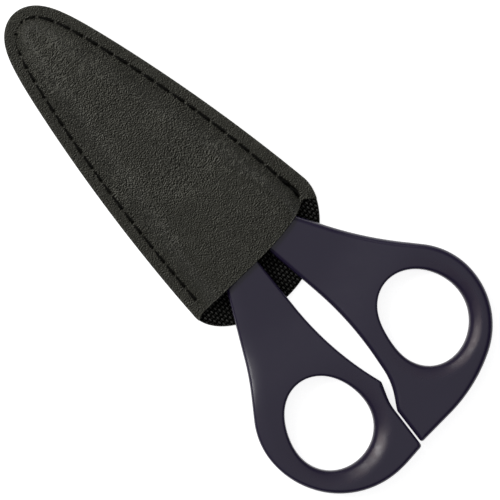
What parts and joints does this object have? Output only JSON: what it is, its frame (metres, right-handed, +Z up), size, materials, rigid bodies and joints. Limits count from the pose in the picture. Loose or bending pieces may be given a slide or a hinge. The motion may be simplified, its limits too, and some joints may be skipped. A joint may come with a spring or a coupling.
{
  "type": "thread snips in sheath",
  "caption": "Small ring-handled thread snips with moulded plastic bows, lying closed in a tapered stitched leatherette slip-on sheath.",
  "frame": {"origin": "middle of the footprint of the whole object, on the surface it lies on", "axes": "+Y towards the tip of the sheath, +X towards the right-hand finger bow, +Z up out of the surface it lies on"},
  "size_m": [0.0615, 0.1319, 0.0069],
  "materials": {
    "rivet_steel": "polished nickel-plated steel",
    "blade_steel": "fine ground stainless steel with polished bevels",
    "handle_plastic": "satin dark aubergine moulded plastic",
    "leatherette": "black pebble-grained leatherette, low sheen",
    "woven_lining": "coarse black plain-weave backing cloth",
    "sewing_thread": "black twisted polyester thread"
  },
  "bodies": {
    "pivot": {"pivot_rivet": "rivet_steel", "pivot_washer": "rivet_steel"},
    "left_half": {"left_blade": "blade_steel", "left_handle": "handle_plastic"},
    "right_half": {"right_blade": "blade_steel", "right_handle": "handle_plastic"},
    "sheath": {"sheath_front_panel": "leatherette", "sheath_front_lining": "woven_lining", "sheath_back_panel": "leatherette", "sheath_back_lining": "woven_lining", "seam_top_thread": "sewing_thread", "seam_bobbin_thread": "sewing_thread"}
  },
  "joints": [
    {"name": "sheath_draw", "type": "slide", "parent": "pivot", "child": "sheath", "axis": [0, 1, 0], "range_m": [0, 0.12]},
    {"name": "left_half_opens", "type": "hinge", "parent": "pivot", "child": "left_half", "pos_m": [0.0008, 0.004, 0.0034], "axis": [0, 0, -1], "range_deg": [0, 25.2]},
    {"name": "right_half_opens", "type": "hinge", "parent": "pivot", "child": "right_half", "pos_m": [0.0008, 0.004, 0.0034], "axis": [0, 0, 1], "range_deg": [0, 25.2]}
  ],
  "couplings": [
    {"joint": "left_half_opens", "follows": "sheath_draw", "rad_per_m": 3.636},
    {"joint": "right_half_opens", "follows": "sheath_draw", "rad_per_m": 3.636}
  ]
}
